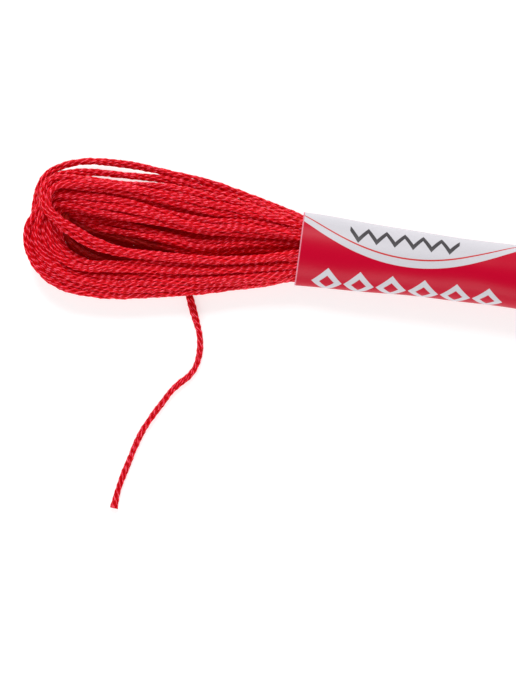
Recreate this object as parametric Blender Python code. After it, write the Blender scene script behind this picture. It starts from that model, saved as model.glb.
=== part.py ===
"""A skein of six-strand embroidery floss held together by a paper band.

Units are metres.  The skein lies flat on a table: +X runs along it, +Y is
across it and +Z is up.  The origin is the middle of the band's flat underside.
"""
import math

import bmesh
import bpy
from mathutils import Vector

MM = 0.001

# ---- driving sizes -------------------------------------------------------------
BAND_LENGTH = 62.0 * MM
MOUTH_WIDTH = 11.8 * MM          # the sleeve is flatter at its two mouths
MOUTH_HEIGHT = 8.0 * MM
MIDDLE_WIDTH = 9.9 * MM          # and rounder in the middle
MIDDLE_HEIGHT = 9.9 * MM
BAND_WALL = 1.05 * MM
FLAT_CUT = 0.35 * MM             # how much of each section the table flattens
GAP = 0.4 * MM                   # between the sleeve's wall and the floss in it
FLOSS = 1.15 * MM                # one thread of six strands
TURN_PAIR = 2.1 * MM             # the two turns that cross in front of the eye

RINGS = 10                       # rings from the outline in to the middle line
RIDGE = 0.42 * MM                # height of the ridges between those rings
RIDGE_DRIFT = 0.22               # how far a ridge wanders, in ring widths
LEAST_THICKNESS = 1.3 * MM       # of the floss at the bottom of an eye
POINTS_PER_SPAN = 4              # outline points between two rows of a table
BAND_STEPS = 12
BAND_SIDES = 28

# Each row is a place on a loop's outline: how far out of the band's mouth it is,
# how far across the skein, and the height of the wound floss level with it.
# Rows run from the mouth's +Y side round the loop's end to its -Y side.
OPEN_LOOP = (
    # along, across, top
    (0.5, 4.2, 6.6),
    (3.2, 6.2, 7.6),
    (8.8, 7.6, 7.8),
    (16.7, 9.1, 7.6),
    (24.5, 10.0, 7.2),
    (31.0, 10.3, 6.8),
    (36.9, 9.6, 6.3),
    (41.0, 7.3, 5.8),
    (42.8, 3.2, 5.4),
    (43.7, -2.9, 5.2),
    (42.3, -6.8, 5.4),
    (39.2, -9.9, 5.8),
    (35.0, -11.6, 6.3),
    (29.3, -12.0, 6.8),
    (22.0, -10.8, 7.2),
    (14.3, -9.2, 7.6),
    (8.0, -7.7, 7.8),
    (3.2, -6.4, 7.6),
    (0.5, -4.2, 6.6),
)
PLAIN_LOOP = (
    (0.5, 4.2, 6.6),
    (3.2, 6.2, 7.6),
    (8.8, 7.6, 7.8),
    (16.7, 9.2, 7.5),
    (24.5, 10.5, 7.1),
    (31.0, 11.1, 6.6),
    (37.0, 10.2, 6.0),
    (41.3, 7.4, 5.6),
    (43.4, 3.8, 5.3),
    (44.0, 0.0, 5.2),
    (43.4, -3.8, 5.3),
    (41.3, -7.4, 5.6),
    (37.0, -10.2, 6.0),
    (31.0, -11.1, 6.6),
    (24.5, -10.5, 7.1),
    (16.7, -9.2, 7.5),
    (8.8, -7.6, 7.8),
    (3.2, -6.2, 7.6),
    (0.5, -4.2, 6.6),
)

# The hollow eye in the middle of each loop: its two ends, as along and across,
# its half width and its depth.
EYES = (
    # side, near end, far end, half width, depth
    (-1, (20.0, -2.9), (36.4, -1.6), 3.2, 3.4),
    (1, (17.0, 0.0), (34.5, 0.0), 2.6, 2.6),
)

# Two turns leave the upper legs, cross in front of the eye and join the lower
# legs.  Each row is a point on their middle line.
CROSSING = (
    # along, across, height
    (22.5, 5.9, 4.6),
    (27.5, 6.8, 5.6),
    (32.5, 7.2, 5.9),
    (37.0, 6.8, 5.5),
    (39.6, 5.4, 5.0),
    (40.6, 3.0, 4.9),
    (40.0, 0.6, 5.1),
    (38.0, -1.3, 5.3),
    (35.0, -2.8, 5.5),
    (31.3, -3.8, 5.7),
    (27.0, -4.3, 5.8),
    (21.5, -4.2, 5.5),
    (16.0, -4.1, 4.9),
)

# The loose end, from where it comes out from under the floss to its cut end.
# Each row is a point on its middle line, measured from the band's mouth.
TAIL = (
    # along, across
    (16.4, -9.7),
    (15.9, -10.9),
    (15.3, -12.3),
    (14.6, -13.9),
    (14.0, -15.5),
    (13.6, -17.4),
    (13.6, -19.3),
    (14.0, -21.1),
    (14.9, -22.6),
    (16.1, -23.8),
    (17.2, -25.1),
    (18.2, -26.8),
    (19.4, -28.9),
    (20.5, -31.0),
    (21.3, -32.9),
    (21.9, -34.9),
    (22.6, -37.6),
    (23.3, -40.4),
    (23.7, -42.7),
    (23.9, -44.9),
)
TAIL_POINT_SPACING = 2.6 * MM


def clear_scene():
    for old in list(bpy.data.objects):
        bpy.data.objects.remove(old, do_unlink=True)


def finish_material(name, colour, roughness):
    material = bpy.data.materials.new(name)
    material.use_nodes = True
    shader = material.node_tree.nodes["Principled BSDF"]
    shader.inputs["Base Color"].default_value = (*colour, 1.0)
    shader.inputs["Roughness"].default_value = roughness
    shader.inputs["Metallic"].default_value = 0.0
    return material


def blend(low, high, amount):
    """Ease from low to high as amount goes from 0 to 1."""
    amount = min(max(amount, 0.0), 1.0)
    eased = amount * amount * (3.0 - 2.0 * amount)
    return low + (high - low) * eased


def smooth_through(points, spans):
    """Points on a smooth curve through the given ones, spans to each stretch."""
    ends = [points[0] * 2 - points[1]] + list(points) + [points[-1] * 2 - points[-2]]
    curve = []
    for a, b, c, d in zip(ends, ends[1:], ends[2:], ends[3:]):
        for step in range(spans):
            t = step / spans
            curve.append(0.5 * (b * 2 + (c - a) * t + (a * 2 - b * 5 + c * 4 - d) * t ** 2
                                + (b * 3 - a - c * 3 + d) * t ** 3))
    return curve + [points[-1].copy()]


def from_mouth(side, along, across, height=0.0):
    """A table's millimetres, counted from a mouth of the band, as a place."""
    return Vector((side * (BAND_LENGTH / 2 + along * MM), across * MM, height * MM))


def band_section(x):
    """The sleeve's outer half width and half height at x."""
    outwards = (abs(x) / (BAND_LENGTH / 2)) ** 1.4
    half_width = (MIDDLE_WIDTH + (MOUTH_WIDTH - MIDDLE_WIDTH) * outwards) / 2
    half_height = (MIDDLE_HEIGHT + (MOUTH_HEIGHT - MIDDLE_HEIGHT) * outwards) / 2
    return half_width, half_height


# ---- the paper band ------------------------------------------------------------

def sleeve_ring(bm, x, inset):
    """One ring round the sleeve, flattened where it rests."""
    half_width, half_height = band_section(x)
    centre = half_height - FLAT_CUT
    ring = []
    for side in range(BAND_SIDES):
        turn = math.tau * (side + 0.5) / BAND_SIDES
        y = (half_width - inset) * math.cos(turn)
        z = max(inset, centre + (half_height - inset) * math.sin(turn))
        ring.append(bm.verts.new((x, y, z)))
    return ring


def skin(bm, rings, closed):
    """Faces between each ring and the next, and from the last to the first."""
    pairs = list(zip(rings, rings[1:]))
    if closed:
        pairs.append((rings[-1], rings[0]))
    for ring, following in pairs:
        count = len(ring)
        for corner in range(count):
            other = (corner + 1) % count
            bm.faces.new((ring[corner], following[corner], following[other], ring[other]))


def make_object(name, bm, material):
    bmesh.ops.recalc_face_normals(bm, faces=bm.faces)
    mesh = bpy.data.meshes.new(name)
    bm.to_mesh(mesh)
    bm.free()
    mesh.materials.append(material)
    mesh.shade_smooth()
    mesh.set_sharp_from_angle(angle=math.radians(50))
    made = bpy.data.objects.new(name, mesh)
    bpy.context.scene.collection.objects.link(made)
    return made


def make_band(material):
    bm = bmesh.new()
    places = [(step / BAND_STEPS - 0.5) * BAND_LENGTH for step in range(BAND_STEPS + 1)]
    outside = [sleeve_ring(bm, x, 0.0) for x in places]
    inside = [sleeve_ring(bm, x, BAND_WALL) for x in reversed(places)]
    skin(bm, outside + inside, closed=True)
    return make_object("band", bm, material)


# ---- the wound floss -----------------------------------------------------------

def floss_in_band():
    """Outline rows for the drawn-in middle, along one side of the skein."""
    rows = []
    for step in range(BAND_STEPS + 1):
        x = (step / BAND_STEPS - 0.5) * BAND_LENGTH
        half_width, half_height = band_section(x)
        inset = BAND_WALL + GAP
        rows.append(Vector((x, half_width - inset, 2 * half_height - FLAT_CUT - inset)))
    return rows


def loop_rows(side, table):
    rows = []
    for along, across, top in table:
        place = from_mouth(side, along, across)
        rows.append(Vector((place.x, place.y, top * MM)))
    return smooth_through(rows, POINTS_PER_SPAN)


def outline():
    """The closed outline as (x, y, top) rows, from the middle of one loop's end.

    Row i and row -i lie across the skein from each other."""
    open_end = loop_rows(-1, OPEN_LOOP)
    plain_end = loop_rows(1, PLAIN_LOOP)
    half_open = len(open_end) // 2
    half_plain = len(plain_end) // 2
    upper = open_end[half_open::-1] + floss_in_band() + plain_end[:half_plain + 1]
    mirrored = [Vector((row.x, -row.y, row.z)) for row in floss_in_band()]
    lower = open_end[half_open:] + mirrored + plain_end[:half_plain - 1:-1]
    return upper, lower


def eye_dip(x, y):
    """How far the floss is hollowed at a place by the eye of its loop."""
    dip = 0.0
    place = Vector((x, y))
    for side, near, far, half_width, depth in EYES:
        start = from_mouth(side, *near).to_2d()
        run = from_mouth(side, *far).to_2d() - start
        amount = min(max((place - start).dot(run) / run.length_squared, 0.0), 1.0)
        distance = (place - start - run * amount).length / (half_width * MM)
        dip += blend(depth * MM, 0.0, distance)
    return dip


def outside_band(x, reach):
    """0 inside the band, easing to 1 at the given reach out of its mouth."""
    return blend(0.0, 1.0, (abs(x) - BAND_LENGTH / 2 - 0.3 * MM) / reach)


def section_levels(x, top):
    """The heights at x of the floss's widest level, its underside's depth below
    that, and the lowest that it may reach."""
    half_height = band_section(min(abs(x), BAND_LENGTH / 2))[1]
    held = half_height - FLAT_CUT
    free = outside_band(x, 2.6 * MM)
    low = (BAND_WALL + GAP) * (1.0 - free)
    widest = held + ((top - low) * 0.42 + low - held) * free
    depth = (top - widest) + ((top - low) * 0.6 - (top - widest)) * free
    return widest, depth, low


def ring_place(edge, middle, ring, upwards):
    """A point on the ring-th ring in from the outline, on the top or underneath."""
    inwards = ring / RINGS * 0.92
    if ring > 0:
        inwards += RIDGE_DRIFT * math.sin(edge.x / (7.0 * MM) + ring) / RINGS
    x = edge.x + (middle.x - edge.x) * inwards
    y = edge.y + (middle.y - edge.y) * inwards
    widest, depth, low = section_levels(x, edge.z)
    crown = math.sqrt(max(1.0 - (1.0 - inwards) ** 2, 0.0))
    if not upwards:
        return Vector((x, y, max(low, widest - depth * crown)))
    free = outside_band(x, 4.0 * MM)
    ridge = (0 if ring == 0 else RIDGE if ring % 2 else -RIDGE) * free
    z = widest + (edge.z - widest) * crown + ridge - eye_dip(x, y) * free
    return Vector((x, y, max(z, low + LEAST_THICKNESS * free)))


def make_wound_body():
    """Rings from the outline in to the middle line, above and underneath."""
    upper, lower = outline()
    loop_end = from_mouth(-1, 34.0, 0.0).x
    plain_end = from_mouth(1, 33.0, 0.0).x
    edges = upper + lower[-2:0:-1]
    partners = lower + upper[-2:0:-1]
    bm = bmesh.new()
    layers = []
    for upwards, rings in ((True, range(RINGS, -1, -1)), (False, range(1, RINGS + 1))):
        for ring in rings:
            layer = []
            for edge, partner in zip(edges, partners):
                middle = (edge + partner) / 2
                middle.x = min(max(middle.x, loop_end), plain_end)
                layer.append(bm.verts.new(ring_place(edge, middle, ring, upwards)))
            layers.append(layer)
    skin(bm, layers, closed=False)
    for layer in (layers[0], layers[-1]):
        close_across(bm, layer, len(upper))
    return bm


def close_across(bm, layer, upper_count):
    """Fill the last slot between the two sides of the innermost ring."""
    total = len(layer)
    for step in range(upper_count - 1):
        here, following = layer[step], layer[step + 1]
        across_here = layer[-step % total]
        across_following = layer[-(step + 1) % total]
        corners = [here, following, across_following, across_here]
        unique = list(dict.fromkeys(corners))
        if len(unique) > 2:
            bm.faces.new(unique)


def tube(name, places, diameter, sides_resolution, material):
    curve = bpy.data.curves.new(name, "CURVE")
    curve.dimensions = "3D"
    curve.bevel_depth = diameter / 2
    curve.bevel_resolution = sides_resolution
    curve.use_fill_caps = True
    spline = curve.splines.new("POLY")
    spline.points.add(len(places) - 1)
    for point, place in zip(spline.points, places):
        point.co = (*place, 1.0)
    curve.materials.append(material)
    made = bpy.data.objects.new(name, curve)
    bpy.context.scene.collection.objects.link(made)
    return made


def make_hank(material):
    hank = make_object("hank", make_wound_body(), material)
    route = [from_mouth(-1, *row) for row in CROSSING]
    guide = tube("crossing_guide", smooth_through(route, 2), TURN_PAIR, 2, material)
    crossing = bpy.data.objects.new("crossing_turns", bpy.data.meshes.new_from_object(guide))
    bpy.data.objects.remove(guide)
    bpy.context.scene.collection.objects.link(crossing)
    crossing.hide_render = True
    crossing.display_type = "WIRE"
    join = hank.modifiers.new("crossing turns", "BOOLEAN")
    join.operation = "UNION"
    join.solver = "EXACT"
    join.object = crossing
    return hank


# ---- the loose end -------------------------------------------------------------

def evenly_spaced(places, spacing):
    """Walk along a fine polyline and keep a place about every spacing."""
    total = sum((b - a).length for a, b in zip(places, places[1:]))
    count = max(2, round(total / spacing))
    kept = [places[0]]
    walked = 0.0
    for a, b in zip(places, places[1:]):
        walked += (b - a).length
        if walked >= len(kept) * total / count - 1e-9 and len(kept) < count:
            kept.append(b)
    return kept + [places[-1]]


def make_tail(material):
    rest_height = FLOSS / 2 / MM + 0.02
    route = [from_mouth(-1, along, across, rest_height) for along, across in TAIL]
    places = evenly_spaced(smooth_through(route, 8), TAIL_POINT_SPACING)
    return tube("tail", places, FLOSS, 2, material)


clear_scene()
floss = finish_material("red_floss", (0.50, 0.012, 0.022), 0.62)
paper = finish_material("printed_paper", (0.60, 0.008, 0.030), 0.35)
make_hank(floss)
make_band(paper)
make_tail(floss)
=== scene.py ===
import math

import bpy
import numpy as np
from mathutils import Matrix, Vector


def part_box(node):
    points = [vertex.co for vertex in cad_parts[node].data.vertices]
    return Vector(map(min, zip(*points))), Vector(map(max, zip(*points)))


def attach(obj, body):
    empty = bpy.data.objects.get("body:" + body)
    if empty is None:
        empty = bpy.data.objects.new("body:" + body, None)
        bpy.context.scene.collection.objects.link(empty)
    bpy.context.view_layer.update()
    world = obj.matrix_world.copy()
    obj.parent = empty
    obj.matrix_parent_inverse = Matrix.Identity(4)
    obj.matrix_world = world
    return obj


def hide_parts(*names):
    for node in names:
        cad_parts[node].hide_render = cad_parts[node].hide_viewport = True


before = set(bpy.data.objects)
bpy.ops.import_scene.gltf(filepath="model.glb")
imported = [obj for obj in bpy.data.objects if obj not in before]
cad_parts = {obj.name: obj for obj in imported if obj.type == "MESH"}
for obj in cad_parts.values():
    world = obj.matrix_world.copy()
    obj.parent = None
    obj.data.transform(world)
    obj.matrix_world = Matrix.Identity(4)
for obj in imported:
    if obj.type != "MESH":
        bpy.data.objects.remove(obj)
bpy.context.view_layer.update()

MM = 0.001

# ---- sizes, in millimetres -----------------------------------------------------
band_low, band_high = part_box("band")
HALF_BAND = band_high[0] / MM            # from the skein's middle to a mouth of the band
THREAD = 1.13                            # one thread of six strands, as it lies
STRANDS = 6                              # in a thread
STRAND = 0.50                            # one of its strands
STRAND_WIDE, STRAND_THIN = 1.16, 0.80    # how its two plies stretch and flatten it
STRAND_RING = 0.36                       # from the thread's middle to its strands' middles
LAY_LENGTH = 15.0                        # one full turn of the six strands
PLY_OFFSET = 0.25                        # of a ply turn, from each strand to the next
PLY_WANDER = 0.9                         # radians, by which the ply twist comes and goes
RINGS_IN_PLY_TURN = 5                    # while a strand's two plies turn once
STEP = 0.47                              # between the rings of a strand where it shows
HIDDEN_STEP = 3.0                        # between the rings inside the band
ROUTE_STEP = 1.0                         # between the points of a turn's route
SIDES = 6                                # of a strand
TURNS_IN_PIECE = 10                      # at most, to keep each mesh light

# The floss pattern's map is a square of tiles.  A strand takes one tile, over and over.
TILES = 4                                # each way; the last two rows hold the painted shade at the eye's bottom
TILE_RINGS = 2 * RINGS_IN_PLY_TURN       # rings of a strand on one tile
TILE_EDGE = 0.02                         # of a tile, left free at each side

EYE_SHADE_START = 17.0                         # how far from the band the eye's painted shade starts
EYE_SHADE = 2.5                          # how much further on the next, darker step of painted shade starts
EYE_SHADES = 2                           # steps of painted shade, darker than the rest of the floss
EYE_LEVEL = 2.8                          # turns below this make the eye's bottom, which takes painted shade

PAPER = 0.12                             # thickness
LAP = 4.0                                # how far the band's ends overlap
LAP_RADIUS = 5.0                         # from the band's middle to its overlap
GIRTH_ON_MAP = 42.0                      # how much of the way round the print's map holds
MOUTH_WIDTH, MOUTH_HEIGHT = 11.8, 8.0    # the band's outside, at its mouths
MIDDLE_WIDTH, MIDDLE_HEIGHT = 9.9, 9.9   # and half way along
FLATTENED = 0.35                         # taken off the underside where the band rests
LEVEL = 1.05                             # from one layer of turns to the next, in the loops
MOUTH_LEVEL = 1.4                        # and in the band's mouth
REST = 0.70                              # the lowest threads' middles, above the table
THREAD_INSET = 1.0                       # a thread's middle, from the band's outside
MOUTH_SLACK = 0.17                       # by how much it comes nearer in the mouth
LEAD_IN = 6.0                            # how far into the band the settled turns reach

# How the turns settle against one another.
SETTLE_ROUNDS = 150
SHOWN_FIRMNESS = 0.30                    # how firmly the uppermost turns keep to their lines
LOWER_FIRMNESS = 0.03                    # and the turns below them
PLAIN_FIRMNESS = 0.02                    # and those of the far loop
PUSH = 0.45                              # how much of an overlap one round takes away
SMOOTHING = 0.12                         # how far a point goes towards its neighbours
HEIGHT_HOLD = 0.3                        # how firmly heights are kept, next to the plan
SINK = 0.002                             # how far a thread drops in a round
MOUTH_ROOM = 0.84                        # of THREAD, kept between two threads in the mouth
ADDED_ROOM = 0.12                        # and how much more is kept in the open loop,
OPENING_RUN = 8.0                        # this far from the mouth and beyond

# The band's print.  Along runs from the mouth at the open loop, and across from the
# band's top line towards +Y.
PALE_EDGE = 0.20                         # where the cut edge has no ink
LENS_MIDDLE, LENS_LOWEST = 17.3, -0.85   # along and across, of the white lens's edge
LENS_CURVE = 0.0185                      # its rise, for each square mm from its lowest
WHITE_FROM, WHITE_TO = -9.0, 9.2         # across
RULE_FROM, RULE_TO = 1.15, 1.40          # the thin line, above the lens's edge
ZIGZAG_FROM, ZIGZAG_TO, ZIGZAG_PITCH = 7.6, 25.0, 2.9
ZIGZAG_FOOT, ZIGZAG_HEIGHT, ZIGZAG_HALF_LINE = 2.45, 1.9, 0.50
DIAMOND_FROM, DIAMOND_TO, DIAMOND_PITCH = 2.4, 33.0, 5.1
DIAMOND_DOWN = 5.2                       # from the top line to the row, towards -Y
DIAMOND_HALF_HEIGHT = 2.7
DIAMOND_NARROWING = 2.05                 # at 1.94 the diamonds would touch
DIAMOND_HOLE, DIAMOND_OUTSIDE = 0.48, 0.97

# The lines that the turns follow round the open loop.  Each row is one station: which
# of a turn's seven places it takes and how far its level has gone towards the bend's,
# then how far out of the band's mouth and how far across the skein its outermost turn
# lies, its innermost, and below the eye the turns that cross in front of it.
MOUTH_ABOVE, ABOVE, SHOULDER, TURN, BEND, BELOW, MOUTH_BELOW = range(7)
OPEN_STATIONS = (
    # place, bent, outer along, across, inner along, across, crossing along, across
    (MOUTH_ABOVE, 0.0, -LEAD_IN, 5.0, -LEAD_IN, 1.4),
    (MOUTH_ABOVE, 0.0, 0.0, 5.1, 0.0, 1.4),
    (MOUTH_ABOVE, 0.0, 8.0, 7.0, 8.0, 1.0),
    (ABOVE, 0.0, 15.0, 8.4, 15.0, 0.6),
    (ABOVE, 0.0, 22.0, 9.2, 22.0, 1.0),
    (SHOULDER, 0.35, 28.5, 9.7, 28.0, 1.3),
    (SHOULDER, 0.8, 35.8, 9.3, 34.0, 1.6),
    (TURN, 0.95, 40.9, 6.9, 38.9, 1.9),
    (BEND, 1.0, 42.5, 2.6, 39.2, 0.6),
    (BELOW, 0.85, 43.3, -2.9, 38.9, -2.8, 38.4, -0.7),
    (BELOW, 0.6, 41.1, -7.9, 37.4, -5.4, 35.1, -2.5),
    (BELOW, 0.3, 36.5, -10.9, 33.8, -6.8, 32.0, -3.7),
    (BELOW, 0.0, 29.0, -11.4, 28.8, -6.3, 27.5, -4.3),
    (BELOW, 0.0, 22.0, -10.2, 22.0, -5.4, 22.0, -4.2),
    (BELOW, 0.0, 15.0, -8.7, 15.0, -4.9, 15.0, -3.9),
    (MOUTH_BELOW, 0.0, 8.0, -6.9, 8.0, -3.8, 8.0, -2.9),
    (MOUTH_BELOW, 0.0, 0.0, -5.1, 0.0, -2.3, 0.0, -1.2),
    (MOUTH_BELOW, 0.0, -LEAD_IN, -5.0, -LEAD_IN, -2.3, -LEAD_IN, -1.2),
)

# The turns of the open loop that lie uppermost.  A place runs from 0 at the outermost
# turn to 1 at the innermost, and to 2 where it crosses in front of the eye.  A level
# counts the layers of thread below it.
SHOWN_TURNS = (
    # place: mouth, above, shoulder, turn, bend, below, mouth,  level: above, bend, below
    (0.02, 0.00, 0.00, 0.00, 0.00, 0.34, 0.30, 1.6, 1.2, 1.4),
    (0.12, 0.135, 0.21, 0.18, 0.18, 0.66, 0.60, 1.8, 1.4, 1.6),
    (0.26, 0.28, 0.39, 0.26, 0.45, 1.92, 1.80, 4.0, 5.2, 4.4),
    (0.40, 0.41, 0.46, 0.48, 0.72, 2.14, 2.08, 4.3, 5.6, 5.0),
    (0.48, 0.57, 0.53, 0.42, 0.38, 0.00, 0.02, 3.9, 4.0, 3.1),
    (0.55, 0.67, 0.64, 0.62, 0.62, 0.20, 0.18, 2.7, 3.6, 3.5),
    (0.70, 0.77, 0.73, 0.70, 0.56, 0.38, 0.36, 4.2, 4.0, 3.6),
    (0.82, 0.88, 0.85, 0.84, 0.70, 0.57, 0.55, 4.5, 3.5, 3.4),
    (0.92, 0.99, 0.98, 0.97, 0.80, 0.84, 0.80, 4.0, 3.4, 4.0),
    (0.86, 0.84, 0.90, 0.92, 0.86, 1.00, 1.02, 3.2, 2.9, 3.9),
    (1.06, 1.20, 1.16, 1.14, 1.06, 0.72, 0.72, 2.9, 0.6, 2.2),
    (1.20, 1.31, 1.28, 1.26, 1.16, 0.94, 0.86, 3.2, 0.2, 2.4),
    (1.36, 1.42, 1.36, 1.34, 1.20, 0.50, 0.50, 2.5, 0.3, 2.4),
)

# The turns below them, which also close the bottom of the eye.
LOWER_TURNS = (
    # place: mouth, above, shoulder, turn, bend, below, mouth,  level: above, bend, below,
    # and how much of the way to the bend it goes
    (0.26, 0.375, 0.45, 0.24, 0.10, 0.12, 0.10, 1.0, 0.4, 0.6, 0.97),
    (0.32, 0.52, 0.45, 0.36, 0.30, 0.10, 0.24, 2.6, 2.6, 2.0, 0.97),
    (0.10, 0.57, 0.60, 0.60, 0.60, 0.54, 0.40, 0.6, 0.2, 0.4, 0.92),
    (0.62, 0.60, 0.45, 0.35, 0.25, 0.28, 0.34, 1.8, 1.5, 2.0, 0.95),
    (0.30, 0.66, 0.66, 0.68, 0.70, 0.38, 0.20, 0.6, 0.7, 0.8, 0.88),
    (0.78, 0.72, 0.78, 0.80, 0.80, 0.80, 0.70, 2.6, 1.6, 2.4, 0.96),
    (0.50, 0.76, 0.62, 0.55, 0.50, 0.26, 0.10, 1.5, 0.2, 0.0, 0.86),
    (0.66, 0.92, 0.93, 0.86, 0.80, 0.72, 0.60, 1.8, 0.6, 1.2, 0.92),
    (1.00, 0.96, 1.00, 1.00, 0.92, 0.90, 1.15, 2.8, 1.9, 1.6, 0.98),
    (0.86, 1.04, 1.02, 1.04, 1.08, 1.92, 1.60, 1.2, 1.2, 2.8, 0.97),
    (1.10, 1.14, 1.12, 1.12, 1.10, 1.16, 1.50, 1.2, 0.0, 0.0, 0.98),
    (1.22, 1.26, 1.28, 1.30, 1.30, 1.54, 1.70, 0.8, 0.0, 0.0, 0.96),
    (1.34, 1.46, 1.50, 1.52, 1.60, 2.34, 2.30, 0.0, 0.0, 0.0, 0.93),
    (1.44, 1.50, 1.60, 1.66, 1.70, 2.02, 2.00, 0.0, 0.0, 0.4, 0.95),
    (1.02, 1.11, 1.10, 1.10, 1.12, 1.36, 1.36, 0.2, 0.2, 1.0, 0.96),
)

# The far loop, which is plain: its turns fan out evenly from the band's mouth.
PLAIN_STATIONS = (
    # along, then across for the outermost turn and for the innermost
    (8.0, 8.3, 0.2),
    (15.0, 10.0, 0.5),
    (22.0, 11.1, 1.0),
    (29.0, 11.3, 1.8),
)
PLAIN_BEND = (
    # share of the way out to the end of the loop, share of the way across
    (0.50, 0.13),
    (0.85, 0.30),
    (1.0, 0.5),
    (0.85, 0.70),
    (0.50, 0.87),
)
PLAIN_REACH, PLAIN_SPREAD = 34.5, 9.6    # how far the innermost goes, and the rest beyond

# From the band's mouth, under the floss, to where the tail comes out.
TAIL_RUN = (
    # along, across
    (-LEAD_IN, -2.2),
    (0.0, -2.7),
    (7.0, -4.0),
    (13.0, -5.6),
    (16.4, -7.2),
    (16.9, -8.4),
    (16.4, -9.7),
)
TAIL = (
    # along, across
    (16.4, -9.7),
    (15.9, -10.9),
    (15.3, -12.3),
    (14.6, -13.9),
    (14.0, -15.5),
    (13.6, -17.4),
    (13.6, -19.3),
    (14.0, -21.1),
    (14.9, -22.6),
    (16.1, -23.8),
    (17.2, -25.1),
    (18.2, -26.8),
    (19.4, -28.9),
    (20.5, -31.0),
    (21.3, -32.9),
    (21.9, -34.9),
    (22.6, -37.6),
    (23.3, -40.4),
    (23.7, -42.7),
    (23.9, -44.9),
)
TAIL_HEIGHT = 0.68
TAIL_LAY = 34.0                          # the loose end has lost some of its twist

chance = np.random.default_rng(27)


# ---- camera, light and table ---------------------------------------------------

def place_camera():
    """A long lens straight above the open loop, turned a little about its own axis."""
    tilt = math.radians(7.5)
    view_height = 109.2 * MM
    sensor = 36.0
    lens = 180.0
    middle_x, middle_y, middle_z = -HALF_BAND - 4.5, -15.9, 4
    data = bpy.data.cameras.new("camera")
    data.sensor_fit = "VERTICAL"
    data.sensor_height = sensor
    data.lens = lens
    camera = bpy.data.objects.new("camera", data)
    bpy.context.scene.collection.objects.link(camera)
    distance = view_height * lens / sensor
    camera.location = (middle_x * MM, middle_y * MM, distance + middle_z * MM)
    camera.rotation_euler = (0.0, 0.0, tilt)
    bpy.context.scene.camera = camera


def place_table():
    """A pale table with a slight glow of its own, so that it stays close to white."""
    bpy.ops.object.select_all(action="DESELECT")
    bpy.ops.mesh.primitive_plane_add(size=4.0, location=(0, 0, 0))
    table = bpy.context.object
    table.name = "table"
    material = bpy.data.materials.new("pale_table")
    material.use_nodes = True
    shader = material.node_tree.nodes["Principled BSDF"]
    shader.inputs["Base Color"].default_value = (0.55, 0.55, 0.55, 1.0)
    shader.inputs["Roughness"].default_value = 0.9
    shader.inputs["Emission Color"].default_value = (1.0, 1.0, 1.0, 1.0)
    shader.inputs["Emission Strength"].default_value = 0.58
    shader.inputs["Specular IOR Level"].default_value = 0.1
    table.data.materials.append(material)


def soft_light(name, place, aim, size, power):
    """A square soft box at a place, turned towards its aim."""
    data = bpy.data.lights.new(name, "AREA")
    data.shape = "SQUARE"
    data.size = size
    data.energy = power
    lamp = bpy.data.objects.new(name, data)
    bpy.context.scene.collection.objects.link(lamp)
    lamp.location = place
    direction = Vector(aim) - Vector(place)
    lamp.rotation_euler = direction.to_track_quat("-Z", "Y").to_euler()


def light_scene():
    """A white tent that is darker overhead, with a soft box on its +Y side."""
    world = bpy.data.worlds.new("studio")
    bpy.context.scene.world = world
    world.use_nodes = True
    nodes, links = world.node_tree.nodes, world.node_tree.links
    background = nodes["Background"]
    direction = nodes.new("ShaderNodeTexCoord")
    split = nodes.new("ShaderNodeSeparateXYZ")
    ramp = nodes.new("ShaderNodeValToRGB")
    links.new(direction.outputs["Generated"], split.inputs["Vector"])
    links.new(split.outputs["Z"], ramp.inputs["Fac"])
    links.new(ramp.outputs["Color"], background.inputs["Color"])
    low, high = ramp.color_ramp.elements
    low.position, low.color = 0.30, (1.0, 1.0, 1.0, 1.0)
    high.position, high.color = 0.85, (0.14, 0.14, 0.14, 1.0)
    background.inputs["Strength"].default_value = 1.1
    soft_light("key", (-0.16, 0.38, 0.42), (-0.035, 0, 0), 0.24, 2.6)
    soft_light("fill", (-0.05, -0.50, 0.30), (-0.03, 0, 0), 0.36, 1.65)
    bpy.context.scene.view_settings.view_transform = "Standard"


# ---- how the turns lie ---------------------------------------------------------

def through(points, spacing):
    """Evenly spaced points on a smooth curve through the given ones."""
    points = np.asarray(points, float)
    ends = np.vstack([2 * points[0] - points[1], points, 2 * points[-1] - points[-2]])
    in_stretch = 24
    t = np.linspace(0, 1, in_stretch, endpoint=False)[:, None]
    fine = []
    for a, b, c, d in zip(ends, ends[1:], ends[2:], ends[3:]):
        fine.append(0.5 * (2 * b + (c - a) * t + (2 * a - 5 * b + 4 * c - d) * t ** 2
                           + (3 * b - a - 3 * c + d) * t ** 3))
    fine = np.vstack(fine + [points[-1:]])
    return spaced(fine, spacing)


def lengths(points):
    """How far along the line each of its points is."""
    steps = np.linalg.norm(np.diff(points, axis=0), axis=1)
    return np.concatenate([[0.0], np.cumsum(steps)])


def spaced(points, spacing):
    """Points about that far apart along a line of straight stretches."""
    walked = lengths(points)
    count = max(2, int(round(walked[-1] / spacing)) + 1)
    marks = np.linspace(0, walked[-1], count)
    return np.stack([np.interp(marks, walked, column) for column in points.T], axis=1)


def section(x, inset):
    """Half width, half height and middle height, that far inside the band's outside."""
    outwards = np.clip(np.abs(x) / HALF_BAND, 0, 1) ** 1.4
    half_width = (MIDDLE_WIDTH + (MOUTH_WIDTH - MIDDLE_WIDTH) * outwards) / 2
    half_height = (MIDDLE_HEIGHT + (MOUTH_HEIGHT - MIDDLE_HEIGHT) * outwards) / 2
    return half_width - inset, half_height - inset, half_height - FLATTENED


def level_height(level, along):
    """The height of a layer, which is stretched out where the band lifts the floss."""
    lifted_run = 12.0
    gathered = np.clip(1 - along / lifted_run, 0, 1) ** 1.5
    pitch = LEVEL + (MOUTH_LEVEL - LEVEL) * gathered
    return REST + level * pitch


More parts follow.
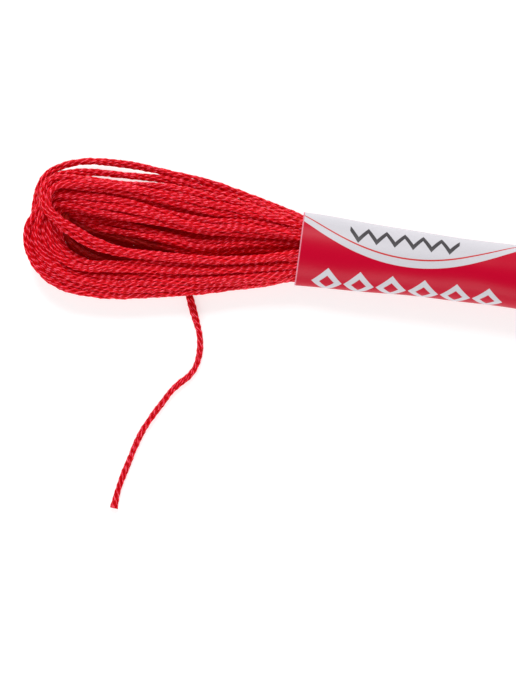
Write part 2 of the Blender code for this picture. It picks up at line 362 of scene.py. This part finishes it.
def open_turn(places, levels, reach):
    """The route of one turn round the open loop, as along, across and height.

    reach is the share it keeps of its run past full_reach."""
    route = []
    wander = 0.025 * min(1.0, 2.0 * places[ABOVE])
    full_reach = 20.0
    for number, (leg, bent, *ends) in enumerate(OPEN_STATIONS):
        share = places[leg] + wander * math.sin(1.9 * number + 17.0 * places[ABOVE])
        lines = np.array(ends).reshape(-1, 2)
        first = 1 if share > 1 and len(lines) > 2 else 0
        along, across = lines[first] + (lines[first + 1] - lines[first]) * (share - first)
        along = min(along, full_reach) + max(along - full_reach, 0.0) * reach
        level = levels[0] if leg <= TURN else levels[1] if leg == BEND else levels[2]
        level += (levels[1] - level) * bent
        route.append((along, across, level_height(level, along)))
    return through(route, ROUTE_STEP)


def open_routes():
    """The open loop's turns, from the outermost inwards.

    Then which of them lie uppermost, and which are at the bottom of the eye, where they take
    painted shade."""
    turns = [(row[:7], row[7:], 1.0, True) for row in SHOWN_TURNS]
    turns += [(row[:7], row[7:10], row[10], False) for row in LOWER_TURNS]
    turns.sort(key=lambda turn: turn[0][MOUTH_ABOVE] + turn[0][MOUTH_BELOW])
    routes = [open_turn(places, levels, reach) for places, levels, reach, shows in turns]
    uppermost = [shows for places, levels, reach, shows in turns]
    has_painted_shade = [places[BEND] > 1 and levels[0] < EYE_LEVEL
            for places, levels, reach, shows in turns]
    return routes, uppermost, has_painted_shade


def plain_turn(start, end, number):
    """The route of one turn round the far loop, between two places in its mouth."""
    legs = []
    for place in (start, end):
        outness = abs(place[1]) / (MOUTH_WIDTH / 2)
        level = (place[2] - REST) / MOUTH_LEVEL
        side = math.copysign(1.0, place[1])
        leg = [(-LEAD_IN, place[1] * 0.98), (0.0, place[1])]
        for along, outer, clear in PLAIN_STATIONS:
            wander = 0.25 * math.sin(0.9 * number + along)
            leg.append((along, side * (clear + (outer - clear) * outness) + wander))
        legs.append([(along, across, level_height(level, along)) for along, across in leg])
    outness = (abs(start[1]) + abs(end[1])) / MOUTH_WIDTH
    reach = PLAIN_REACH + PLAIN_SPREAD * outness + 0.5 * math.sin(2.3 * number)
    a, b = np.array(legs[0][-1]), np.array(legs[1][-1])
    bend = []
    for out, share in PLAIN_BEND:
        swung = 0.5 - 0.5 * math.cos(math.pi * share)
        place = a + (b - a) * swung
        along = a[0] + (reach - a[0]) * out
        bend.append((along, place[1], place[2] * 0.9))
    return through(legs[0] + bend + legs[1][::-1], ROUTE_STEP)


def settle(routes, rounds, held):
    """Push apart threads that lie through each other, and let them rest.

    held says how firmly each keeps to its route, up to 1 where it doesn't move."""
    count = np.array([len(route) for route in routes])
    start = np.vstack(routes)
    owner = np.repeat(np.arange(len(routes)), count)
    order = np.concatenate([np.arange(n) for n in count])
    hold = np.asarray(held)[owner][:, None]
    inner = (order > 0) & (order < count[owner] - 1)
    places = start.copy()
    rounds_between_looks = 6
    for step in range(rounds):
        if step % rounds_between_looks == 0:
            first, second = neighbours(places, owner, order)
        gap = places[first] - places[second]
        distance = np.linalg.norm(gap, axis=1) + 1e-9
        along = (places[first, 0] + places[second, 0]) / 2
        room = THREAD * (MOUTH_ROOM + ADDED_ROOM * np.clip(along / OPENING_RUN, 0, 1))
        move = gap * (np.clip(room - distance, 0, None) / distance * PUSH)[:, None]
        for axis in range(3):
            places[:, axis] += np.bincount(first, move[:, axis], len(places))
            places[:, axis] -= np.bincount(second, move[:, axis], len(places))
        mean = (np.roll(places, 1, 0) + np.roll(places, -1, 0)) / 2
        places[inner] += SMOOTHING * (mean - places)[inner]
        places[:, :2] += hold * (start - places)[:, :2]
        places[:, 2:] += HEIGHT_HOLD * hold * (start - places)[:, 2:] - SINK
        keep_in_band(places)
        places[:, 2] = np.maximum(places[:, 2], REST)
        places[hold[:, 0] == 1] = start[hold[:, 0] == 1]
    return np.split(places, np.cumsum(count)[:-1])


def neighbours(places, owner, order):
    """Pairs of points, on different stretches of thread, that are close."""
    square = (places ** 2).sum(1)
    near = square[:, None] + square[None, :] - 2 * places @ places.T
    watched = THREAD + 0.5
    same_stretch = 4
    first, second = np.nonzero(near < watched ** 2)
    apart = (first < second) & ((owner[first] != owner[second])
                                | (abs(order[first] - order[second]) > same_stretch))
    return first[apart], second[apart]


def keep_in_band(places):
    """Hold the threads that are in the mouth inside the paper."""
    inside = places[:, 0] < 1.5
    into = np.clip(-places[inside, 0], 0, LEAD_IN)
    inset = THREAD_INSET - MOUTH_SLACK * (1 - into / LEAD_IN)
    half_width, half_height, middle = section(HALF_BAND - into, inset)
    y = places[inside, 1] / half_width
    z = (places[inside, 2] - middle) / half_height
    out = np.maximum(np.hypot(y, z), 1.0)
    places[inside, 1] /= out
    places[inside, 2] = middle + (places[inside, 2] - middle) / out


def band_run(end):
    """Points from the middle of the band to the end of a settled turn, at -X."""
    outer = section(HALF_BAND - LEAD_IN, THREAD_INSET)
    share_y = end[1] / outer[0]
    share_z = (end[2] - outer[2]) / outer[1]
    run = []
    for x in np.linspace(0, HALF_BAND - LEAD_IN, 6)[:-1]:
        half_width, half_height, middle = section(x, THREAD_INSET)
        run.append((-x, share_y * half_width, middle + share_z * half_height))
    return run


def placed_at_open_end(settled):
    """Points given as along, across and height, as x, y and z at the open loop."""
    along, across, height = settled.T
    return np.stack([-HALF_BAND - along, across, height], axis=1)


def whole_route(settled, side):
    """A turn with its runs to the middle of the band, as x, y and z.

    side is -1 at the open loop, and 1 at the plain one."""
    placed = placed_at_open_end(settled)
    route = np.vstack([band_run(settled[0]), placed[::2], band_run(settled[-1])[::-1]])
    route[:, 0] *= -side
    return route


# ---- strands -------------------------------------------------------------------

def frames_along(points):
    """A tangent and two steady side directions at each point of a route."""
    tangent = np.gradient(points, axis=0)
    tangent /= np.linalg.norm(tangent, axis=1)[:, None]
    up = np.array([0.0, 0.0, 1.0])
    side = np.cross(up, tangent)
    side /= np.linalg.norm(side, axis=1)[:, None] + 1e-9
    return tangent, side, np.cross(tangent, side)


def ring_places(route):
    """Points along a route, close where the thread shows and far apart in the band."""
    fine = through(route, STEP)
    seen_in_mouth = 1.0
    hidden = np.abs(fine[:, 0]) < HALF_BAND - seen_in_mouth
    keep = np.ones(len(fine), bool)
    skip = round(HIDDEN_STEP / STEP)
    keep[hidden & (np.arange(len(fine)) % skip != 0)] = False
    keep[0] = keep[-1] = True
    return fine[keep]


def strand_rings(points, phase, number, shape=None, lay=LAY_LENGTH):
    """The rings of one strand of the thread that follows the points.

    shape is the width, the height and the spread of the thread at each point, and lay is
    the length in which its strands go once round.  The sines make the twist uneven."""
    walked = lengths(points)
    tangent, side, above = frames_along(points)
    wide, high, loose = np.ones((3, len(points))) if shape is None else shape
    turn = math.tau * (number / STRANDS + walked / lay) + phase
    turn = turn + 0.3 * np.sin(walked / 2.9 + 2.1 * number + phase)
    out = STRAND_RING * loose * (1 + 0.10 * np.sin(walked / 2.3 + number * 1.7 + phase))
    middle = (points + side * (np.cos(turn) * out * wide)[:, None]
              + above * (np.sin(turn) * out * high)[:, None])
    ply = math.tau * (PLY_OFFSET * number - np.arange(len(points)) / RINGS_IN_PLY_TURN)
    ply = ply + PLY_WANDER * np.sin(walked / 4.3 + 2.6 * number + 3.0 * phase)
    around = math.tau * np.arange(SIDES) / SIDES
    local_y = np.cos(around) * STRAND / 2 * STRAND_WIDE
    local_z = np.sin(around) * STRAND / 2 * STRAND_THIN
    cos, sin = np.cos(ply)[:, None], np.sin(ply)[:, None]
    across = local_y * cos - local_z * sin
    over = local_y * sin + local_z * cos
    return (middle[:, None] + side[:, None] * across[..., None]
            + above[:, None] * over[..., None])


def strand_mesh(name, strands, material):
    """One piece of many strands, each given as its rings and the painted shade of each ring.

    A strand's rings are an array of rings by sides by three."""
    places, quads, caps, maps = [], [], [], []
    start = 0
    for number, (rings, painted_shade) in enumerate(strands):
        count = len(rings)
        index = start + np.arange(count * SIDES).reshape(count, SIDES)
        following = np.roll(index, -1, axis=1)
        wall = np.stack([index[:-1], index[1:], following[1:], following[:-1]], axis=-1)
        places.append(rings.reshape(-1, 3))
        quads.append(wall.reshape(-1, 4))
        caps += [index[0], index[-1][::-1]]
        maps.append(strand_map(painted_shade, number))
        start += count * SIDES
    mesh = filled_mesh(name, np.vstack(places) * MM, np.vstack(quads), caps, np.vstack(maps))
    mesh.materials.append(material)
    made = bpy.data.objects.new(name, mesh)
    bpy.context.scene.collection.objects.link(made)
    return made


def filled_mesh(name, places, quads, caps, maps):
    """A mesh of four-sided walls and of caps, with the walls' map."""
    quad_loops = quads.reshape(-1)
    cap_loops = np.concatenate(caps)
    mesh = bpy.data.meshes.new(name)
    mesh.vertices.add(len(places))
    mesh.vertices.foreach_set("co", places.astype(np.float32).ravel())
    mesh.loops.add(len(quad_loops) + len(cap_loops))
    mesh.loops.foreach_set("vertex_index",
                           np.concatenate([quad_loops, cap_loops]).astype(np.int32))
    totals = np.concatenate([np.full(len(quads), 4), np.full(len(caps), SIDES)])
    starts = np.concatenate([[0], np.cumsum(totals)[:-1]])
    mesh.polygons.add(len(totals))
    mesh.polygons.foreach_set("loop_start", starts.astype(np.int32))
    mesh.polygons.foreach_set("loop_total", totals.astype(np.int32))
    mesh.polygons.foreach_set("use_smooth", np.ones(len(totals), bool))
    layer = mesh.uv_layers.new(name="OFBake")
    cap_spot = [[0.03, 0.03]]
    cap_map = np.tile(cap_spot, (len(cap_loops), 1))
    layer.uv.foreach_set("vector", np.vstack([maps, cap_map]).astype(np.float32).ravel())
    mesh.update(calc_edges=True)
    mesh.validate()
    return mesh


def strand_map(painted_shade, number):
    """Where each side of a strand lies on the pattern's tiles."""
    column = number % TILES
    # rings with painted shade in the eye go to the last two rows of tiles
    row = np.where(painted_shade > 0, painted_shade + 1, number // TILES % 2)[:-1, None]
    inner = 1 - 2 * TILE_EDGE
    ring = np.arange(len(painted_shade) - 1) % TILE_RINGS
    side = np.arange(SIDES)
    ring, side = np.meshgrid(ring, side, indexing="ij")
    quad = [(side, ring), (side, ring + 1), (side + 1, ring + 1), (side + 1, ring)]
    corners = np.stack([np.stack([(column + TILE_EDGE + inner * a / SIDES) / TILES,
                                  (row + TILE_EDGE + inner * b / TILE_RINGS) / TILES],
                                 axis=-1)
                        for a, b in quad], axis=2)
    return corners.reshape(-1, 2)


# ---- finishes ------------------------------------------------------------------

def new_finish(name):
    """An empty material, its shader, and calls that add nodes to it."""
    material = bpy.data.materials.new(name)
    material.use_nodes = True
    return material, material.node_tree.nodes["Principled BSDF"], Nodes(material.node_tree)


class Nodes:
    """Short calls for the nodes that the finishes are made of."""

    def __init__(self, tree):
        self.tree = tree

    def add(self, kind, **settings):
        node = self.tree.nodes.new(kind)
        for name, value in settings.items():
            setattr(node, name, value)
        return node

    def join(self, source, socket):
        if isinstance(source, bpy.types.NodeSocket):
            self.tree.links.new(source, socket)
        else:
            socket.default_value = source

    def math(self, operation, *values):
        node = self.add("ShaderNodeMath", operation=operation)
        for value, socket in zip(values, node.inputs):
            self.join(value, socket)
        return node.outputs[0]

    def ramp(self, value, *stops):
        """A colour or grey that runs through (position, colour) stops."""
        node = self.add("ShaderNodeValToRGB")
        self.join(value, node.inputs["Fac"])
        elements = node.color_ramp.elements
        while len(elements) < len(stops):
            elements.new(0.5)
        for element, (position, colour) in zip(elements, stops):
            if not isinstance(colour, tuple):
                colour = (colour, colour, colour)
            element.position = position
            element.color = (*colour, 1.0)
        return node.outputs["Color"]

    def mix(self, share, first, second, blend="MIX"):
        node = self.add("ShaderNodeMix", data_type="RGBA", blend_type=blend)
        for value, name in ((share, "Factor_Float"), (first, "A_Color"), (second, "B_Color")):
            socket = next(s for s in node.inputs if s.identifier == name)
            self.join(value, socket)
        return next(s for s in node.outputs if s.identifier == "Result_Color")

    def noise(self, vector, scale, detail=2.0):
        node = self.add("ShaderNodeTexNoise")
        self.join(vector, node.inputs["Vector"])
        node.inputs["Scale"].default_value = scale
        node.inputs["Detail"].default_value = detail
        return node.outputs["Fac"]

    def bump(self, height, distance, strength=1.0):
        node = self.add("ShaderNodeBump")
        self.join(height, node.inputs["Height"])
        node.inputs["Distance"].default_value = distance
        node.inputs["Strength"].default_value = strength
        return node.outputs["Normal"]


def floss_finish():
    """Mercerised cotton: two plies wound round each other, each with a painted highlight
    on its crest and painted shade in its furrows.

    Across a tile lie a strand's sides, and up it its rings.  The tiles of the last two
    rows are darker with painted shade, for the strands at the bottom of the eye."""
    material, shader, nodes = new_finish("red_floss")
    tile_map = nodes.add("ShaderNodeUVMap", uv_map="OFBake")
    split = nodes.add("ShaderNodeSeparateXYZ")
    nodes.join(tile_map.outputs["UV"], split.inputs["Vector"])
    column = nodes.math("MULTIPLY", split.outputs["X"], float(TILES))
    row = nodes.math("MULTIPLY", split.outputs["Y"], float(TILES))
    around = nodes.math("FRACT", column)
    plies = nodes.math("MULTIPLY", around, 2.0)
    place = nodes.math("FRACT", nodes.math("ADD", plies, 0.5))
    rounded = nodes.math("SINE", nodes.math("MULTIPLY", place, math.pi))
    crest = nodes.math("POWER", rounded, 2.0)
    fibres = nodes.add("ShaderNodeCombineXYZ")
    nodes.join(nodes.math("MULTIPLY", place, 5.0), fibres.inputs["X"])
    nodes.join(nodes.math("MULTIPLY", row, 4.0), fibres.inputs["Y"])
    nodes.join(nodes.math("FLOOR", column), fibres.inputs["Z"])
    fine = nodes.noise(fibres.outputs["Vector"], 1.5, 2.0)
    # painted highlight on each ply's crest and painted shade in the furrows between
    painted_crest_light = nodes.math("MULTIPLY", crest, nodes.math("ADD", fine, 0.35))
    colour = nodes.ramp(painted_crest_light, (0.10, (0.50, 0.0, 0.002)), (0.46, (0.57, 0.0, 0.004)),
                        (0.64, (0.74, 0.003, 0.020)), (0.86, (1.0, 0.10, 0.15)))
    # painted shade, mixed in for the strands at the bottom of the eye
    shadow = (0.13, 0.006, 0.0015, 1.0)
    painted_shade = nodes.math("MAXIMUM", nodes.math("SUBTRACT", nodes.math("FLOOR", row), 1.0), 0.0)
    colour = nodes.mix(nodes.math("MULTIPLY", painted_shade, 0.40), colour, shadow)
    nodes.join(colour, shader.inputs["Base Color"])
    nodes.join(nodes.bump(crest, 0.00007, 1.0), shader.inputs["Normal"])
    shader.inputs["Roughness"].default_value = 0.45
    shader.inputs["Specular IOR Level"].default_value = 0.32
    shader.inputs["Specular Tint"].default_value = (1.0, 0.18, 0.24, 1.0)
    # a faint red glow: painted light that lifts the shade between the threads
    shader.inputs["Emission Color"].default_value = (1.0, 0.0, 0.004, 1.0)
    shader.inputs["Emission Strength"].default_value = 0.05
    shader.inputs["Subsurface Weight"].default_value = 0.4
    shader.inputs["Subsurface Radius"].default_value = (0.0016, 0.00004, 0.00006)
    shader.inputs["Subsurface Scale"].default_value = 1.0
    return material


def printed_finish():
    """Coated paper: a white lens with a stitched line on red, over a diamond border."""
    material, shader, nodes = new_finish("printed_paper")
    paper_map = nodes.add("ShaderNodeUVMap", uv_map="OFBake")
    split = nodes.add("ShaderNodeSeparateXYZ")
    nodes.join(paper_map.outputs["UV"], split.inputs["Vector"])
    along = nodes.math("MULTIPLY", split.outputs["X"], 2 * HALF_BAND)
    from_top = nodes.math("SUBTRACT", split.outputs["Y"], 0.5)
    across = nodes.math("MULTIPLY", from_top, GIRTH_ON_MAP)
    from_middle = nodes.math("SUBTRACT", along, LENS_MIDDLE)
    curved = nodes.math("MULTIPLY", nodes.math("POWER", from_middle, 2.0), LENS_CURVE)
    above = nodes.math("SUBTRACT", across, nodes.math("ADD", curved, LENS_LOWEST))
    in_lens = nodes.math("MULTIPLY", covered(nodes, above, 0.0),
                         covered(nodes, across, WHITE_FROM, 0.1))
    in_lens = nodes.math("MULTIPLY", in_lens, nodes.math("LESS_THAN", across, WHITE_TO))
    red, white = (0.46, 0.0, 0.020, 1.0), (0.535, 0.52, 0.555, 1.0)
    colour = nodes.mix(in_lens, red, white)
    rule = between(nodes, above, RULE_FROM, RULE_TO)
    colour = nodes.mix(rule, colour, (0.50, 0.03, 0.03, 1.0))
    colour = nodes.mix(zigzag(nodes, along, across), colour, (0.055, 0.05, 0.055, 1.0))
    colour = nodes.mix(diamonds(nodes, along, across), colour, white)
    colour = nodes.mix(under(nodes, along, PALE_EDGE), colour, (0.62, 0.20, 0.26, 1.0))
    fibre = nodes.noise(paper_map.outputs["UV"], 260.0, 4.0)
    colour = nodes.mix(0.10, colour, nodes.ramp(fibre, (0.3, 0.35), (0.7, 1.0)), "MULTIPLY")
    nodes.join(colour, shader.inputs["Base Color"])
    nodes.join(nodes.bump(fibre, 0.00002, 0.5), shader.inputs["Normal"])
    shader.inputs["Roughness"].default_value = 0.36
    shader.inputs["Specular IOR Level"].default_value = 0.12
    return material


def covered(nodes, value, start, soft=0.06):
    """1 where a value is past its start, with a slightly soft edge."""
    node = nodes.add("ShaderNodeMapRange")
    nodes.join(value, node.inputs["Value"])
    node.inputs["From Min"].default_value = start - soft / 2
    node.inputs["From Max"].default_value = start + soft / 2
    return node.outputs["Result"]


def under(nodes, value, end, soft=0.06):
    """1 where a value is short of its end."""
    return nodes.math("SUBTRACT", 1.0, covered(nodes, value, end, soft))


def between(nodes, value, start, end, soft=0.06):
    """1 where a value is past its start and short of its end."""
    return nodes.math("MULTIPLY", covered(nodes, value, start, soft),
                      under(nodes, value, end, soft))


def repeated(nodes, value, start, pitch):
    """How far a value is from the middle of its own repeat: 0 there and 0.5 at its ends."""
    share = nodes.math("FRACT", nodes.math("MULTIPLY", nodes.math("SUBTRACT", value, start),
                                           1 / pitch))
    return nodes.math("ABSOLUTE", nodes.math("SUBTRACT", share, 0.5))


def zigzag(nodes, along, across):
    """A stitched zigzag, 2 mm high, in the middle of the white lens."""
    wave = nodes.math("MULTIPLY", repeated(nodes, along, ZIGZAG_FROM, ZIGZAG_PITCH),
                      2 * ZIGZAG_HEIGHT)
    from_line = nodes.math("SUBTRACT", across, nodes.math("ADD", wave, ZIGZAG_FOOT))
    line = under(nodes, nodes.math("ABSOLUTE", from_line), ZIGZAG_HALF_LINE)
    return nodes.math("MULTIPLY", line, between(nodes, along, ZIGZAG_FROM, ZIGZAG_TO))


def diamonds(nodes, along, across):
    """A row of hollow diamonds, 5.1 mm apart, along one side of the print."""
    sideways = repeated(nodes, along, DIAMOND_FROM, DIAMOND_PITCH)
    upright = nodes.math("ABSOLUTE", nodes.math("ADD", across, DIAMOND_DOWN))
    size = nodes.math("ADD", nodes.math("MULTIPLY", sideways, DIAMOND_NARROWING),
                      nodes.math("MULTIPLY", upright, 1 / DIAMOND_HALF_HEIGHT))
    ring = between(nodes, size, DIAMOND_HOLE, DIAMOND_OUTSIDE, 0.03)
    return nodes.math("MULTIPLY", ring, between(nodes, along, DIAMOND_FROM, DIAMOND_TO))


def bare_paper_finish():
    """The paper's inside and its cut edges."""
    material, shader, nodes = new_finish("bare_paper")
    place = nodes.add("ShaderNodeTexCoord").outputs["Object"]
    fibre = nodes.noise(place, 3000.0, 4.0)
    colour = nodes.ramp(fibre, (0.3, (0.66, 0.58, 0.58)), (0.7, (0.80, 0.72, 0.72)))
    nodes.join(colour, shader.inputs["Base Color"])
    nodes.join(nodes.bump(fibre, 0.00002, 0.5), shader.inputs["Normal"])
    shader.inputs["Roughness"].default_value = 0.75
    return material


# ---- the pieces ----------------------------------------------------------------

def finish_piece(piece, node):
    """Put a piece on the part's one body, in place of its CAD node."""
    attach(piece, "root")
    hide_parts(node)


def thread_strands(route, shade_eye=False):
    """A thread's six strands, each with its rings' painted shade in the eye: 0, 1 or 2."""
    points = ring_places(route)
    phase = chance.uniform(0, math.tau)
    along = np.abs(points[:, 0]) - HALF_BAND
    strands = []
    for number in range(STRANDS):
        sooner = 0.5 * number
        painted_shade = np.clip((along - EYE_SHADE_START + sooner) / EYE_SHADE, 0, EYE_SHADES) * shade_eye
        strands.append((strand_rings(points, phase, number), painted_shade.astype(int)))
    return strands


def make_loops(name, routes, side, material, has_painted_shade):
    """The turns of one end of the skein, a few to a piece."""
    for number, first in enumerate(range(0, len(routes), TURNS_IN_PIECE), 1):
        strands = []
        last = min(first + TURNS_IN_PIECE, len(routes))
        for turn in range(first, last):
            strands += thread_strands(whole_route(routes[turn], side), has_painted_shade[turn])
        piece = strand_mesh("%s_turns_%d" % (name, number), strands, material)
        finish_piece(piece, "hank")


def plain_routes(opened):
    """The far loop's turns, each of which joins one open turn to the next."""
    plain = []
    in_mouth = round(LEAD_IN / ROUTE_STEP)
    for number, (turn, following) in enumerate(zip(opened, opened[1:] + opened[:1])):
        plain.append(plain_turn(turn[-1 - in_mouth], following[in_mouth], number))
    return settle(plain, SETTLE_ROUNDS, [PLAIN_FIRMNESS] * len(plain))


def make_hank(material):
    """Both loops, and the run of the thread under them to where the tail comes out."""
    run = [(along, across, TAIL_HEIGHT) for along, across in TAIL_RUN]
    routes, uppermost, has_painted_shade = open_routes()
    firmness = [SHOWN_FIRMNESS if shows else LOWER_FIRMNESS for shows in uppermost]
    opened = settle(routes + [through(run, ROUTE_STEP)], SETTLE_ROUNDS, firmness + [1.0])
    tail_run = opened.pop()
    make_loops("open_loop", opened, -1, material, has_painted_shade)
    plain = plain_routes(opened)
    make_loops("plain_loop", plain, 1, material, [False] * len(plain))
    out_of_band = placed_at_open_end(tail_run)
    lead = np.vstack([band_run(tail_run[0]), out_of_band])
    finish_piece(strand_mesh("tail_run_under_loop", thread_strands(lead), material),
                 "hank")


def make_tail(material):
    """The loose end: flattened where it comes out, and splayed where it is cut."""
    route = [(-HALF_BAND - along, across, TAIL_HEIGHT) for along, across in TAIL]
    points = through(route, STEP)
    walked = lengths(points)
    left = walked[-1] - walked
    flat = np.exp(-(walked / 4.0) ** 2)
    splay = np.exp(-left / 0.9)
    width = 0.84 + 0.5 * flat
    height = 0.84 - 0.3 * flat - 0.3 * splay
    spread = 1 - 0.14 * walked / walked[-1] + 0.5 * splay
    painted_shade = np.zeros(len(points), int)
    phase = 0.6
    strands = [(strand_rings(points, phase, number, (width, height, spread), TAIL_LAY), painted_shade)
               for number in range(STRANDS)]
    tail = strand_mesh("loose_end", strands, material)
    finish_piece(tail, "tail")


def band_turn(share):
    """How far round the band a share of its girth is, from low on the -Y side."""
    lap_turn = LAP / LAP_RADIUS
    return math.radians(-150) + share * (math.tau + lap_turn)


def band_places(along, share):
    """Where the paper lies, that far from the mouth and that share of the way round."""
    x = along - HALF_BAND
    turn = band_turn(share)
    inset = 0.18
    lift = 0.16 * share
    half_width, half_height, middle = section(x, 0.0)
    wave = 0.05 * np.sin(along / 4.1 + 2 * turn) + 0.04 * np.sin(along / 2.3 - 3 * turn)
    y = (half_width - inset + lift + wave) * np.cos(turn)
    z = middle + (half_height - inset + lift + wave) * np.sin(turn)
    off_table = 0.02
    over_lap = 0.14 * (share > 0.5)
    z = np.maximum(z, PAPER / 2 + off_table + over_lap)
    return np.stack([x, y, z], axis=1) * MM


def girth_from_top(placed, column, share):
    """How far round the paper each point is from the band's top line, towards +Y."""
    girth = np.zeros(len(placed))
    for this in np.unique(np.round(column, 6)):
        line = np.flatnonzero(np.abs(column - this) < 1e-5)
        line = line[np.argsort(share[line])]
        walked = lengths(placed[line] / MM)
        top = np.interp(math.pi / 2, band_turn(share[line]), walked)
        girth[line] = top - walked
    return girth


def thicken_paper(band):
    """Give the sheet its thickness, and crisp cut edges."""
    bpy.ops.object.mode_set(mode="EDIT")
    bpy.ops.mesh.select_all(action="SELECT")
    bpy.ops.mesh.flip_normals()
    bpy.ops.object.mode_set(mode="OBJECT")
    bpy.ops.object.shade_smooth()
    thick = band.modifiers.new("paper", "SOLIDIFY")
    thick.thickness = PAPER * MM
    thick.offset = 0.0
    thick.material_offset = 1
    thick.material_offset_rim = 1
    bpy.ops.object.modifier_apply(modifier="paper")
    bpy.ops.object.mode_set(mode="EDIT")
    bpy.ops.mesh.select_mode(type="EDGE")
    bpy.ops.mesh.select_all(action="DESELECT")
    bpy.ops.mesh.edges_select_sharp(sharpness=math.radians(60))
    bpy.ops.mesh.mark_sharp()
    bpy.ops.object.mode_set(mode="OBJECT")


def make_band(printed, bare):
    """A strip of paper wrapped once round, its ends lapped low on the -Y side."""
    bpy.ops.object.select_all(action="DESELECT")
    bpy.ops.mesh.primitive_grid_add(x_subdivisions=62, y_subdivisions=120, size=1)
    band = bpy.context.object
    band.name = "paper_band"
    mesh = band.data
    flat = np.empty(len(mesh.vertices) * 3)
    mesh.vertices.foreach_get("co", flat)
    flat = flat.reshape(-1, 3)
    along = (flat[:, 0] + 0.5) * 2 * HALF_BAND
    share = flat[:, 1] + 0.5
    placed = band_places(along, share)
    mesh.vertices.foreach_set("co", placed.astype(np.float32).ravel())
    girth = girth_from_top(placed, flat[:, 0], share)
    corner = np.empty(len(mesh.loops), np.int32)
    mesh.loops.foreach_get("vertex_index", corner)
    layer = mesh.uv_layers[0]
    layer.name = "OFBake"
    print_map = np.stack([along / (2 * HALF_BAND), 0.5 + girth / GIRTH_ON_MAP], axis=1)
    layer.uv.foreach_set("vector", print_map[corner].astype(np.float32).ravel())
    mesh.materials.append(printed)
    mesh.materials.append(bare)
    thicken_paper(band)
    finish_piece(band, "band")


place_camera()
light_scene()
place_table()
floss = floss_finish()
make_tail(floss)
make_hank(floss)
make_band(printed_finish(), bare_paper_finish())
